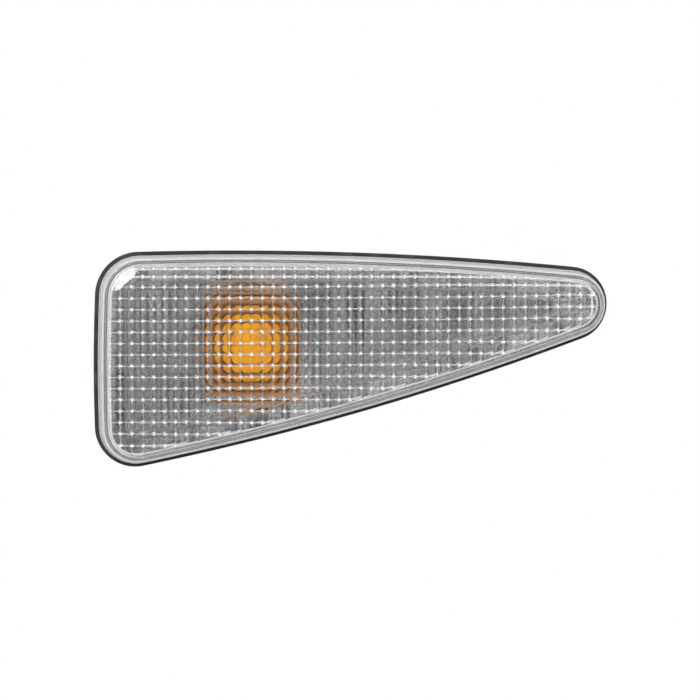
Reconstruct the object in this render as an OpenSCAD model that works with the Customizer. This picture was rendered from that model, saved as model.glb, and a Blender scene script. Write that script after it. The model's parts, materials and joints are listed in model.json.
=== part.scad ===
// Side indicator lamp for a vehicle wing: clear pillow-optic lens, metallised reflector,
// amber wedge bulb in a twist-lock holder, seal, spring clip and rear housing.
// X runs along the lamp, +Z is up, -Y is the outside of the vehicle.
// The origin is on the bulb's axis, in the plane of the body panel.

/* [Outline] */
// Bulb axis to the centre of the large end's upper corner, along X
upper_corner_x = -24.8; // [-28:0.1:-20]
// Bulb axis to the centre of the large end's upper corner, along Z
upper_corner_z = 11.1; // [8:0.1:14]
// Radius of the large end's upper corner
upper_corner_r = 9.7; // [8.5:0.1:11]
// Bulb axis to the centre of the large end's lower corner, along X
lower_corner_x = -25.7; // [-28:0.1:-20]
// Bulb axis to the centre of the large end's lower corner, along Z
lower_corner_z = -17.6; // [-21:0.1:-15]
// Radius of the large end's lower corner
lower_corner_r = 8.9; // [8.5:0.1:11]
// Bulb axis to the centre of the narrow end, along X
tip_x = 70.9; // [62:0.1:82]
// Bulb axis to the centre of the narrow end, along Z
tip_z = 9.0; // [6:0.1:12]
// Radius of the narrow end
tip_r = 8.2; // [8:0.1:10]
// Radius of the large end's slightly bowed side
end_bow_r = 400; // [300:10:900]
// Radius of the bowed lower side
lower_bow_r = 650; // [450:5:1000]
// Radius of the bowed upper side
upper_bow_r = 785; // [450:5:1200]

/* [Seal and flange] */
// Thickness of the seal between lamp and panel
seal_t = 1.4; // [0.8:0.1:2.4]
// How far the seal shows past the lens all round
seal_lip = 0.8; // [0.4:0.1:1.2]
// Thickness of the housing's flange
flange_t = 1.4; // [1:0.1:2]
// Outer edge of the seal to the wall that passes through the panel
tub_inset = 4.5; // [4:0.1:5]
// Thickness of the body panel that the lamp is made for
panel_t = 2.5; // [1.5:0.1:3]

/* [Lens] */
// Height of the lens above the flange at its shoulder
lens_rise = 5.4; // [4.6:0.1:8]
// Radius of the lens's rounded shoulder
shoulder_r = 1.8; // [1.2:0.1:2.4]
// Extra height of the domed face at the bulb
lens_crown = 0.8; // [0.4:0.1:1.6]
// Bulb axis up to the crease where the upper strip starts
crease_z = 15.8; // [14:0.1:17]
// How far the crease falls towards the narrow end, in degrees
crease_fall = 1.6; // [0:0.1:2]
// How far the strip above the crease leans back, in degrees
strip_lean = 15; // [8:1:20]
// Thickness of the lens's side wall
lens_wall = 2.4; // [1.6:0.1:2.8]
// Thickness of the lens's face, under the valleys
lens_face = 1.8; // [1.4:0.1:2.4]
// Bulb axis to the nearest boundary between pillows, along X
pillow_x = 1.9; // [0:0.1:2.4]
// Bulb axis to the nearest boundary between pillows, along Z
pillow_z = 1.0; // [0:0.1:2.4]
// Width of one pillow along X
pillow_w = 2.4; // [2:0.1:3.2]
// Height of one pillow along Z
pillow_h = 2.47; // [2:0.01:3.2]
// How far a pillow's middle stands off the valley at its side
pillow_rise = 0.4; // [0.2:0.05:0.5]

/* [Housing] */
// Wall thickness of the housing
wall = 1.6; // [1.2:0.1:2]
// Depth of the shallow part behind the panel
tub_depth = 6; // [5:0.1:7]
// Depth of the round pot behind the panel
pot_depth = 14; // [12:0.1:17]
// Outer radius of the round pot
pot_r = 19; // [18.5:0.1:21]
// Height of the ribs behind the shallow part
rib_h = 3; // [2:0.1:4.5]
// Thickness of the ribs
rib_t = 1.2; // [1:0.1:1.6]
// Number of ribs across the shallow part
rib_count = 4; // [2:1:5]
// Length of the collar behind the pot, which the holder turns in
collar_len = 3; // [2.4:0.1:4]
// Outer radius of the breather pipe
breather_r = 2; // [1.6:0.1:2.2]
// Length of the breather pipe
breather_len = 4; // [3:0.1:6]

/* [Reflector] */
// Depth of the reflector's floor behind the flange's front
reflector_depth = 2.8; // [2:0.1:5]
// Thickness of the reflector's skin
skin_t = 1; // [0.8:0.1:1.2]
// Gap between the bulb and the back end of the bowl round it
bowl_gap = 0.4; // [0.3:0.05:0.6]
// How far the bowl widens towards its mouth
bowl_flare = 3; // [1:0.1:3.2]
// How far the bowl ends in front of the pot's floor
bowl_set_back = 2.4; // [2:0.1:4]

/* [Clip] */
// Width of the spring clip
clip_w = 12; // [8:0.5:16]
// Thickness of the spring clip's steel
clip_t = 0.5; // [0.4:0.05:0.7]
// How far the spring clip bows out past its post
clip_reach = 3.4; // [2.8:0.1:3.7]
// Width of the fixed hook at the narrow end
hook_w = 8; // [5:0.5:9]
// How far the hook reaches past the wall
hook_reach = 3.4; // [2.4:0.1:4]
// Thickness of the hook
hook_t = 2; // [1.6:0.1:2.4]

/* [Bulb and holder] */
// Radius of the bulb's glass
bulb_r = 7.6; // [7:0.1:7.7]
// Radius of the bulb's neck, where it enters the holder
neck_r = 5.1; // [5:0.1:5.4]
// Length of the bulb's glass in front of its flat base
bulb_len = 16.8; // [14:0.1:17]
// Wall thickness of the bulb's glass
glass_t = 0.7; // [0.5:0.1:0.9]
// Width of the bulb's flat base
base_w = 9.4; // [8.8:0.1:9.6]
// Thickness of the bulb's flat base
base_t = 2.2; // [1.9:0.1:2.3]
// Length of the bulb's flat base
base_len = 8.5; // [7:0.1:9]
// Radius of the holder's nose
nose_r = 8; // [7.6:0.1:8.3]
// Clearance between the nose and its hole
nose_gap = 0.3; // [0.2:0.05:0.5]
// Angle that the holder turns through to come free
release_turn = 45; // [40:1:50]
// Radius of the holder's grip
grip_r = 12; // [11.5:0.1:12.4]
// Thickness of the holder's grip
grip_t = 2.2; // [1.8:0.1:3]
// Width of the connector shell
shell_w = 14; // [12.5:0.1:16]
// Height of the connector shell
shell_h = 9; // [7.5:0.1:11]
// Wall thickness of the connector shell
shell_t = 1.3; // [1:0.1:1.6]
// Length of the connector shell behind the grip
shell_len = 13; // [11:0.5:17]

/* [Hidden] */
$fn = 64;

// Overlap that joins two bodies of one piece, and how far a cut runs past a face.
eps = 0.01;
past = 1;
// Gaps between pieces that fit closely, and between pieces that are pushed together.
slide_gap = 0.3;
snug_gap = 0.05;

// Depths along Y, from the panel at 0: the outside is negative.
flange_back_y = -seal_t;
flange_front_y = flange_back_y - flange_t;
face_y = flange_front_y - lens_rise;
tub_floor_y = tub_depth - wall;
pot_floor_y = pot_depth - wall;

// The outline is six arcs that meet in line: three corners and three bowed sides.
corners = [
    [[upper_corner_x, upper_corner_z], upper_corner_r, end_bow_r],
    [[lower_corner_x, lower_corner_z], lower_corner_r, lower_bow_r],
    [[tip_x, tip_z], tip_r, upper_bow_r]
];
corner_steps = 12;
side_steps = 14;

// Centre of the arc of radius big_r that touches two corner circles from outside.
function bow_centre(a, ra, b, rb, big_r) =
    let (span = b - a,
         d = norm(span),
         p = big_r - ra,
         q = big_r - rb,
         along = (d * d + p * p - q * q) / (2 * d),
         off = sqrt(p * p - along * along),
         u = span / d)
    a + u * along + [-u.y, u.x] * off;

function heading(from, to) = atan2(to.y - from.y, to.x - from.x);
function after(angle, start) = angle < start ? after(angle + 360, start) : angle;

bow_centres = [for (i = [0:2])
    let (a = corners[i], b = corners[(i + 1) % 3])
    bow_centre(a[0], a[1], b[0], b[1], a[2])];

// Points along an arc, without its last one.
function arc_points(centre, r, a0, a1, steps) =
    [for (i = [0:steps - 1])
        let (a = a0 + (a1 - a0) * i / steps)
        centre + r * [cos(a), sin(a)]];

// The lamp's outline, moved inwards by inset: every arc keeps its centre.
function outline(inset) =
    [for (i = [0:2])
        let (a = corners[i],
             b = corners[(i + 1) % 3],
             o = bow_centres[i],
             next_o = bow_centres[(i + 1) % 3],
             side_start = heading(o, a[0]),
             side_end = after(heading(o, b[0]), side_start),
             corner_end = after(heading(next_o, b[0]), side_end))
        each concat(
            arc_points(o, a[2] - inset, side_start, side_end, side_steps),
            arc_points(b[0], b[1] - inset, side_end, corner_end, corner_steps))];

// Where the large end's bowed side is furthest out, at a given inset.
function end_x(inset) = bow_centres[0].x - (end_bow_r - inset);

// A strip of sheet of thickness t whose middle follows a path.
function unit(v) = v / norm(v);
function side_of(path, i) = let (d = unit(path[i + 1] - path[i])) [-d.y, d.x];
function mitre(path, i) =
    i == 0 ? side_of(path, 0) :
    i == len(path) - 1 ? side_of(path, i - 1) :
    let (m = side_of(path, i - 1), n = side_of(path, i))
    (m + n) / (1 + m * n);
function strip(path, t) = concat(
    [for (i = [0:len(path) - 1]) path[i] + mitre(path, i) * t / 2],
    [for (i = [len(path) - 1:-1:0]) path[i] - mitre(path, i) * t / 2]);

// Extrudes a flat shape, drawn in X and Z, from y0 back to y1.
module slab(y0, y1) {
    translate([0, y1, 0])
        rotate([90, 0, 0])
            linear_extrude(y1 - y0)
                children();
}

// Extrudes a flat shape, drawn in Y and Z, from x0 to x1.
module across(x0, x1) {
    translate([x0, 0, 0])
        rotate([90, 0, 90])
            linear_extrude(x1 - x0)
                children();
}

module outline_slab(inset, y0, y1) {
    slab(y0, y1) polygon(outline(inset));
}

module ring_slab(outer, inner, y0, y1) {
    difference() {
        outline_slab(outer, y0, y1);
        outline_slab(inner, y0 - past, y1 + past);
    }
}

// A round body on the bulb's axis from y0 back to y1.
module axial(r, y0, y1) {
    slab(y0, y1) circle(r);
}

// Turns a profile of radius and depth round the bulb's axis.
module turned() {
    rotate([90, 0, 0])
        rotate_extrude()
            children();
}

// Lens
shoulder_steps = 5;
dome_steps = 3;
foot_draft = 0.4;
shoulder_inset = seal_lip + foot_draft;
dome_start = shoulder_inset + shoulder_r;
dome_end = tip_r - 0.4;

// Height that the dome adds at a share of the way from the shoulder to the flat middle.
function dome(share) = lens_crown * (1 - pow(1 - share, 2));

// Side wall, rounded shoulder and soft dome, as pairs of inset and depth.
lens_levels = concat(
    [[seal_lip, flange_front_y]],
    [for (i = [0:shoulder_steps])
        let (a = 90 * i / shoulder_steps)
        [shoulder_inset + shoulder_r * (1 - cos(a)), face_y + shoulder_r * (1 - sin(a))]],
    [for (i = [1:dome_steps])
        let (share = i / dome_steps)
        [dome_start + (dome_end - dome_start) * share, face_y - dome(share)]]);

module lens_outer() {
    for (k = [0:len(lens_levels) - 2])
        hull() {
            outline_slab(lens_levels[k][0], lens_levels[k][1] - eps, lens_levels[k][1]);
            outline_slab(lens_levels[k + 1][0], lens_levels[k + 1][1] - eps, lens_levels[k + 1][1]);
        }
}

// Everything in front of the strip that leans back above the crease.
crease_y = face_y - dome(0.5);
module strip_cut() {
    reach = 2 * (tip_x + tip_r);
    depth = 2 * lens_rise;
    translate([0, crease_y, crease_z])
        rotate([0, crease_fall, 0])
            rotate([-strip_lean, 0, 0])
                translate([-reach / 2, -depth, 0])
                    cube([reach, depth, reach]);
}

// The pillows: a sheet of cells, each highest in its middle, that closes on a flat back.
// It covers the whole outline, counted in half cells from a boundary.
function cells(from, origin, size) = 2 * floor((from - origin) / size);
pillow_i0 = cells(min(end_x(0), lower_corner_x - lower_corner_r), pillow_x, pillow_w);
pillow_i1 = cells(tip_x + tip_r, pillow_x, pillow_w) + 2;
pillow_j0 = cells(lower_corner_z - lower_corner_r, pillow_z, pillow_h);
pillow_j1 = cells(upper_corner_z + upper_corner_r + pillow_h, pillow_z, pillow_h) + 2;
pillow_back = flange_front_y + past;

function odd(i) = abs(i) % 2;
function pillow_y(i, j) = face_y + lens_face + pillow_rise * (odd(i) + odd(j));

module pillow_space() {
    cols = pillow_i1 - pillow_i0;
    rows = pillow_j1 - pillow_j0;
    n = rows + 1;
    front = [for (i = [pillow_i0:pillow_i1], j = [pillow_j0:pillow_j1])
        [pillow_x + i * pillow_w / 2, pillow_y(i, j), pillow_z + j * pillow_h / 2]];
    back = [for (p = front) [p.x, pillow_back, p.z]];
    b = len(front);
    edge = concat([for (j = [0:rows - 1]) j],
                  [for (i = [0:cols - 1]) i * n + rows],
                  [for (j = [rows:-1:1]) cols * n + j],
                  [for (i = [cols:-1:1]) i * n]);
    m = len(edge);
    polyhedron(concat(front, back), concat(
        [for (i = [0:cols - 1], j = [0:rows - 1])
            let (a = i * n + j, c = a + n)
            each [[a, a + 1, c + 1], [a, c + 1, c]]],
        [for (k = [0:m - 1])
            let (p = edge[k], q = edge[(k + 1) % m])
            each [[p, b + p, b + q], [p, b + q, q]]],
        [for (i = [0:cols - 1], j = [0:rows - 1])
            let (a = b + i * n + j, c = a + n)
            each [[a, c + 1, a + 1], [a, c, c + 1]]]));
}

module lens() {
    color([0.86, 0.88, 0.9, 0.45])
        difference() {
            lens_outer();
            strip_cut();
            intersection() {
                pillow_space();
                outline_slab(seal_lip + lens_wall, face_y - past, flange_front_y + past);
            }
        }
}

// Housing
collar_r = 11;
collar_y = pot_depth + collar_len;
bore_r = nose_r + nose_gap;
lug_r = nose_r + 1.6;
lug_angle = 34;
lug_count = 3;
lug_slack = 3;
breather_wall = 0.8;
cap_wall = 0.8;
cap_r = breather_r + snug_gap + cap_wall;
breather_turn = 218;
breather_at = (grip_r + cap_r + slide_gap) * [cos(breather_turn), sin(breather_turn)];

// A slice of a disc on the bulb's axis, between two angles.
module wedge_slice(r, from, to) {
    steps = 8;
    reach = r / cos((to - from) / (2 * steps));
    polygon(concat([[0, 0]], arc_points([0, 0], reach, from, to, steps),
                   [reach * [cos(to), sin(to)]]));
}

// The lugs of the holder, or with slack the notches that let them through.
module lug_slices(r, turn, slack) {
    intersection() {
        circle(r);
        for (i = [0:lug_count - 1])
            let (middle = i * 360 / lug_count + turn)
            wedge_slice(r + past, middle - lug_angle / 2 - slack, middle + lug_angle / 2 + slack);
    }
}

module pot_outline(shrink) {
    intersection() {
        circle(pot_r - shrink);
        polygon(outline(tub_inset + shrink));
    }
}

// Ribs behind the shallow part: one along it and several across it.
module ribs() {
    run = norm([tip_x, tip_z]);
    pitch = (run - pot_r) / (rib_count + 1);
    slab(tub_depth - eps, tub_depth + rib_h)
        intersection() {
            polygon(outline(tub_inset + rib_t));
            rotate(atan2(tip_z, tip_x))
                union() {
                    translate([pot_r - rib_t, -rib_t / 2])
                        square([run - pot_r + rib_t, rib_t]);
                    for (i = [1:rib_count])
                        translate([pot_r + i * pitch, -pot_r])
                            square([rib_t, 2 * pot_r]);
                }
        }
}

// The fixed hook at the narrow end, which goes behind the panel first.
hook_y = panel_t - slide_gap;
module end_hook() {
    hook_x = tip_x + tip_r - tub_inset;
    translate([hook_x - wall, hook_y, tip_z - hook_w / 2])
        cube([wall + hook_reach, hook_t, hook_w]);
    translate([hook_x - wall, hook_y, tip_z - rib_t / 2])
        cube([wall + hook_reach / 2, tub_depth - hook_y, rib_t]);
}

// The post at the large end that carries the spring clip.
clip_z = -3;
post_out = 0.6;
post_in = 3;
post_x = end_x(tub_inset) - post_out;
module clip_post() {
    translate([post_x, hook_y + post_out, clip_z - clip_w / 2])
        cube([post_out + post_in, tub_depth - hook_y - post_out, clip_w]);
}

module breather(r, y0, y1) {
    translate([breather_at.x, 0, breather_at.y])
        axial(r, y0, y1);
}

module housing() {
    color([0.2, 0.2, 0.21])
        difference() {
            union() {
                outline_slab(seal_lip, flange_front_y, flange_back_y);
                outline_slab(tub_inset, flange_back_y - eps, tub_depth);
                slab(tub_depth - eps, pot_depth) pot_outline(0);
                axial(collar_r, pot_depth - eps, collar_y);
                breather(breather_r, pot_depth - eps, pot_depth + breather_len);
                ribs();
                end_hook();
                clip_post();
            }
            outline_slab(tub_inset + wall, flange_front_y - past, tub_floor_y);
            slab(flange_front_y - past, pot_floor_y) pot_outline(wall);
            axial(bore_r, pot_floor_y - past, collar_y + past);
            slab(pot_floor_y - past, collar_y + past)
                lug_slices(lug_r + nose_gap, release_turn, lug_slack);
            breather(breather_r - breather_wall, pot_floor_y - past,
                     pot_depth + breather_len + past);
        }
}

// Reflector
reflector_inset = tub_inset + wall + slide_gap;
reflector_floor_y = flange_front_y + reflector_depth;
reflector_back_y = reflector_floor_y + skin_t;
bowl_end_r = bulb_r + bowl_gap;
bowl_mouth_r = bowl_end_r + bowl_flare;
bowl_end_y = pot_floor_y - bowl_set_back;
bowl_steps = 8;

// Depth of the paraboloid bowl at a given radius.
function bowl_y(r) =
    bowl_end_y - (bowl_end_y - reflector_floor_y)
                 * (pow(r, 2) - pow(bowl_end_r, 2)) / (pow(bowl_mouth_r, 2) - pow(bowl_end_r, 2));

// The solid inside the bowl, moved out by shift and reaching forward to front_y.
module bowl(shift, front_y) {
    wall_line = [for (i = [0:bowl_steps])
        let (r = bowl_end_r + (bowl_mouth_r - bowl_end_r) * i / bowl_steps)
        [r + shift, -bowl_y(r)]];
    turned()
        polygon(concat([[0, -bowl_end_y]], wall_line,
                       [[bowl_mouth_r + shift, -front_y], [0, -front_y]]));
}

module reflector() {
    color([0.8, 0.81, 0.83])
        difference() {
            union() {
                outline_slab(seal_lip + lens_wall + slide_gap, flange_front_y - skin_t,
                             flange_front_y);
                outline_slab(reflector_inset, flange_front_y - eps, reflector_back_y);
                bowl(skin_t, reflector_floor_y - eps);
            }
            outline_slab(reflector_inset + skin_t, flange_front_y - skin_t - past,
                         reflector_floor_y);
            bowl(0, reflector_floor_y - past);
            axial(bowl_end_r, bowl_end_y - past, bowl_end_y + past);
        }
}

module gasket() {
    color([0.13, 0.13, 0.13])
        ring_slab(0, tub_inset - slide_gap, flange_back_y, 0);
}

// Spring clip: it hangs over its post and bows outwards behind the panel.
clip_lean = 53;
clip_bend_r = 0.5;
clip_peak_r = 1;
clip_tail_len = 2.6;
clip_tail_heading = 60;
clip_leaf_len = (clip_reach - clip_t - clip_bend_r - clip_peak_r
                 + (clip_peak_r - clip_bend_r) * sin(clip_lean)) / cos(clip_lean);

// The middle line of the steel, in X and Y: hanger, bend, leaf, peak and tail.
function clip_path() =
    let (x = post_x - clip_t / 2,
         y = tub_depth + clip_t / 2,
         bend = [x - clip_bend_r, hook_y + clip_bend_r + clip_t / 2],
         a1 = -90 - clip_lean,
         a2 = clip_tail_heading - 270,
         out = [cos(a1), sin(a1)],
         leaf = [-cos(clip_lean), sin(clip_lean)],
         peak = bend + out * (clip_bend_r - clip_peak_r) + leaf * clip_leaf_len,
         tail = peak + clip_peak_r * [cos(a2), sin(a2)])
    concat([[post_x + post_out + post_in, y], [x, y]],
           arc_points(bend, clip_bend_r, 0, a1, 6),
           arc_points(peak, clip_peak_r, a1, a2, 4),
           [tail, tail + clip_tail_len * [cos(clip_tail_heading), sin(clip_tail_heading)]]);

module spring_clip() {
    color([0.7, 0.71, 0.73])
        translate([0, 0, clip_z - clip_w / 2])
            linear_extrude(clip_w)
                polygon(strip(clip_path(), clip_t));
}

module vent_cap() {
    top_y = pot_depth + breather_len;
    color([0.16, 0.16, 0.16])
        difference() {
            breather(cap_r, pot_depth + cap_wall, top_y + cap_wall);
            breather(breather_r + snug_gap, pot_depth, top_y + snug_gap);
        }
}

// Bulb holder
lug_t = 2;
nose_front_y = pot_floor_y - snug_gap - lug_t;
seal_ring_t = 1;
grip_y = collar_y + seal_ring_t;
grip_back_y = grip_y + grip_t;
shell_end_y = grip_back_y + shell_len;
shell_round = 1.5;
bulb_seat = 3.6;
glass_end_y = nose_front_y + bulb_seat;
base_end_y = glass_end_y + base_len;
scallop_count = 16;
scallop_r = 1;
tab_w = 3.2;
tab_t = 2.4;
tab_len = 5;
latch_w = 5;
latch_h = 1.4;
latch_len = 4;

// Contacts and the wires on the bulb's base that they press on.
lead_x = 1.9;
lead_r = 0.25;
tail_z = base_t / 2 + snug_gap + lead_r;
tail_len = 4;
contact_w = 2.8;
contact_t = 0.6;
contact_x = 2.4;
contact_z = tail_z + lead_r + snug_gap + contact_t / 2;
pocket_h = 2 * contact_z + 1.2;
jog_y = base_end_y + 1;
jog_len = 0.9;
pocket_end_y = jog_y + jog_len + contact_t;
shell_floor_y = pocket_end_y + 1;
blade_set_back = 4.2;
blade_end_y = shell_end_y - blade_set_back;

module rounded(w, h, r) {
    square([w - 2 * r, h], center = true);
    square([w, h - 2 * r], center = true);
    for (x = [-1, 1], z = [-1, 1])
        translate([x * (w / 2 - r), z * (h / 2 - r)])
            circle(r);
}

// The flat glass base of the bulb, with a bead down each edge.
module base_outline(grow) {
    bead_r = base_t / 2 + 0.2;
    square([base_w - 2 * bead_r, base_t + 2 * grow], center = true);
    for (side = [-1, 1])
        translate([side * (base_w / 2 - bead_r), 0])
            circle(bead_r + grow);
}

module grip() {
    slab(grip_y, grip_back_y)
        difference() {
            circle(grip_r);
            for (i = [0:scallop_count - 1])
                rotate((i + 0.5) * 360 / scallop_count)
                    translate([grip_r + scallop_r / 2, 0])
                        circle(scallop_r);
        }
}

module connector_shell() {
    slab(grip_back_y - eps, shell_end_y)
        rounded(shell_w, shell_h, shell_round);
    for (side = [-1, 1])
        slab(grip_back_y - eps, grip_back_y + tab_len)
            translate([side * (shell_w + tab_w) / 2, 0])
                square([tab_w + 2 * eps, tab_t], center = true);
    across(-latch_w / 2, latch_w / 2)
        polygon([[shell_end_y - latch_len, shell_h / 2 - eps],
                 [shell_end_y - latch_len, shell_h / 2 + latch_h],
                 [shell_end_y - latch_len / 2, shell_h / 2 + latch_h],
                 [shell_end_y - eps, shell_h / 2 - eps]]);
}

module bulb_holder() {
    color([0.24, 0.24, 0.25])
        difference() {
            union() {
                axial(nose_r, nose_front_y, grip_y + eps);
                slab(nose_front_y, pot_floor_y - snug_gap) lug_slices(lug_r, 0, 0);
                grip();
                connector_shell();
            }
            axial(neck_r + slide_gap, nose_front_y - past, glass_end_y + snug_gap);
            slab(glass_end_y - past, base_end_y + 2 * snug_gap) base_outline(slide_gap / 2);
            for (side = [-1, 1])
                translate([side * contact_x, 0, 0]) {
                    slab(glass_end_y - past, pocket_end_y)
                        square([contact_w + 2 * snug_gap, pocket_h], center = true);
                    slab(pocket_end_y - past, shell_floor_y + past)
                        square([contact_w + 2 * snug_gap, contact_t + 2 * snug_gap], center = true);
                }
            slab(shell_floor_y, shell_end_y + past)
                rounded(shell_w - 2 * shell_t, shell_h - 2 * shell_t, shell_round - shell_t / 2);
        }
}

module holder_seal() {
    color([0.75, 0.3, 0.15])
        difference() {
            axial(collar_r - slide_gap, collar_y, grip_y);
            axial(nose_r + snug_gap, collar_y - past, grip_y + past);
        }
}

// One contact: a blade in the connector that steps aside and runs up the bulb's base.
module contact(side) {
    path = [[blade_end_y, 0], [jog_y + jog_len, 0], [jog_y, side * contact_z],
            [glass_end_y + 2, side * contact_z], [glass_end_y + 1, side * (contact_z + 0.3)]];
    color([0.8, 0.66, 0.32])
        translate([side * contact_x, 0, 0])
            across(-contact_w / 2, contact_w / 2)
                polygon(strip(path, contact_t));
}
module contact_upper() {
    contact(1);
}
module contact_lower() {
    contact(-1);
}

// Bulb
bulb_tip_y = glass_end_y - bulb_len;
bulb_shoulder_r = bulb_r - neck_r;
bulb_shoulder_y = nose_front_y - slide_gap - bulb_shoulder_r;
glass_floor = 2;
glass_round = 1.2;
filament_r = 0.3;
light_centre = 8;
filament_y = bulb_tip_y + light_centre;

// The glass, moved inwards by t: a round tip, a side, a shoulder, a neck and a rounded end.
module glass_shape(t, end_y, round_r) {
    shoulder = bulb_shoulder_r - t;
    turned()
        polygon(concat(
            arc_points([0, -(bulb_tip_y + bulb_r)], bulb_r - t, 90, 0, 12),
            arc_points([neck_r, -bulb_shoulder_y], shoulder, 0, -90, 6),
            [[neck_r - t, -(bulb_shoulder_y + shoulder)]],
            arc_points([neck_r - t - round_r, round_r - end_y], round_r, 0, -90, 4),
            [[neck_r - t - round_r, -end_y], [0, -end_y]]));
}

module bulb_glass() {
    color([1, 0.55, 0.05, 0.6])
        difference() {
            union() {
                glass_shape(0, glass_end_y, glass_round);
                slab(glass_end_y - eps, base_end_y) base_outline(0);
            }
            glass_shape(glass_t, glass_end_y - glass_floor, glass_round - glass_t / 2);
            for (side = [-1, 1])
                translate([side * lead_x, 0, 0])
                    axial(lead_r + snug_gap, glass_end_y - glass_floor - past, base_end_y + past);
        }
}

module bulb_filament() {
    color([0.35, 0.35, 0.37])
        translate([-lead_x - lead_r, filament_y, 0])
            rotate([0, 90, 0])
                cylinder(h = 2 * (lead_x + lead_r), r = filament_r);
}

// One wire: from the filament through the base, round its end and up its face.
module lead(side) {
    end_y = base_end_y + snug_gap + 2 * lead_r;
    color([0.6, 0.6, 0.6])
        translate([side * lead_x, 0, 0]) {
            axial(lead_r, filament_y + filament_r + eps, end_y);
            translate([0, end_y - lead_r, 0])
                mirror([0, 0, side < 0 ? 1 : 0])
                    cylinder(h = tail_z + lead_r, r = lead_r);
            translate([0, 0, side * tail_z])
                axial(lead_r, base_end_y - tail_len, end_y);
        }
}
module bulb_lead_left() {
    lead(-1);
}
module bulb_lead_right() {
    lead(1);
}

lens();
housing();
reflector();
gasket();
spring_clip();
vent_cap();
bulb_holder();
holder_seal();
contact_upper();
contact_lower();
bulb_glass();
bulb_filament();
bulb_lead_left();
bulb_lead_right();
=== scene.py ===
# %% [markdown]
# # A clear indicator lamp for a vehicle's wing
# The lamp is a wedge of clear acrylic over a metallised reflector, with an amber bulb
# behind it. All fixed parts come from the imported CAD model. This lesson dresses them:
# it grows the fine lens from formulas, gives every part a finish, and lights it softly.

import json
import math

import bpy
import numpy as np
from mathutils import Euler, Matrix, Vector

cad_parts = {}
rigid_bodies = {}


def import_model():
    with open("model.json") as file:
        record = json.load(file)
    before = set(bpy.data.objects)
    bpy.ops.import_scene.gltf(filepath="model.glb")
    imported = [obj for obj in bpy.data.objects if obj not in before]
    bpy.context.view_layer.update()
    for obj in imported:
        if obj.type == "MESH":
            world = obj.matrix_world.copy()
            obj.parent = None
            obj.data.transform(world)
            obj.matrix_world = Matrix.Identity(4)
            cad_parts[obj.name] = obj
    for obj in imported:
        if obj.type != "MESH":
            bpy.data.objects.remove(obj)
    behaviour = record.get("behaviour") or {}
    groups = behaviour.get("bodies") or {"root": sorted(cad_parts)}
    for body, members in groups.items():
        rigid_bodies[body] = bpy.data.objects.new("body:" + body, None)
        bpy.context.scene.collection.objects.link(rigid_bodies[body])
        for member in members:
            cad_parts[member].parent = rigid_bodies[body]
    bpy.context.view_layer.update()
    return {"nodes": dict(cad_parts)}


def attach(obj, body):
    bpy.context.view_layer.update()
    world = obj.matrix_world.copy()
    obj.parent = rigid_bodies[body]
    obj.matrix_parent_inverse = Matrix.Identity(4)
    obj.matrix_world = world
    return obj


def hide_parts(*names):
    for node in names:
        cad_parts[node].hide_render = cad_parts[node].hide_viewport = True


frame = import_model()
nodes = frame["nodes"]
MM = 0.001
print("parts:", sorted(nodes))

# %% [markdown]
# ## The camera
# The photograph looks at the lens from far away, a little from the left and from above:
# the lens's left and upper side walls show wider than the others. A long lens on a
# camera a metre away draws the same nearly parallel lines. The picture is 700 pixels
# wide, a pixel is 0.2212 mm on the lamp, and the bulb's axis is at pixel (251, 345).

# %% Place the camera
PHOTO_SIDE = 700
PIXEL = 0.2212 * MM
AXIS_PIXEL = (251, 345)
FOCAL = 240
SENSOR = 36
AZIMUTH = math.radians(-6)
ELEVATION = math.radians(3)

frame_width = PHOTO_SIDE * PIXEL
target = Vector((PHOTO_SIDE / 2 - AXIS_PIXEL[0], 0, AXIS_PIXEL[1] - PHOTO_SIDE / 2)) * PIXEL
distance = frame_width * FOCAL / SENSOR
turn = Euler((math.pi / 2 - ELEVATION, 0, AZIMUTH))

camera = bpy.data.objects.new("camera", bpy.data.cameras.new("camera"))
bpy.context.scene.collection.objects.link(camera)
camera.data.lens = FOCAL
camera.data.sensor_width = SENSOR
camera.data.clip_end = 20
camera.rotation_euler = turn
camera.location = target + turn.to_matrix() @ Vector((0, 0, distance))
bpy.context.scene.camera = camera
print(f"camera {distance:.2f} m away, frame {frame_width / MM:.1f} mm wide")

# %% [markdown]
# ## Shader maths as Python
# A material is a graph of small nodes. Writing `a * 2 + b` is easier to read than
# wiring boxes, so a `Wire` stands for one socket and turns Python's operators into
# Math nodes. Every other node comes from one method, `Finish.node`.

# %% A wire and a finish
class Wire:
    """One output socket of a finish, which Python operators combine."""

    def __init__(self, finish, socket):
        self.finish = finish
        self.socket = socket

    def maths(self, operation, *values):
        inputs = dict(enumerate(values))
        return self.finish.node("ShaderNodeMath", {"operation": operation}, inputs)

    def __add__(self, other):
        return self.maths("ADD", self, other)

    def __sub__(self, other):
        return self.maths("SUBTRACT", self, other)

    def __rsub__(self, other):
        return self.maths("SUBTRACT", other, self)

    def __mul__(self, other):
        return self.maths("MULTIPLY", self, other)

    def __truediv__(self, other):
        return self.maths("DIVIDE", self, other)

    def __pow__(self, other):
        return self.maths("POWER", self, other)

    def most(self, other):
        return self.maths("MAXIMUM", self, other)

    __radd__ = __add__
    __rmul__ = __mul__


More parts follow.
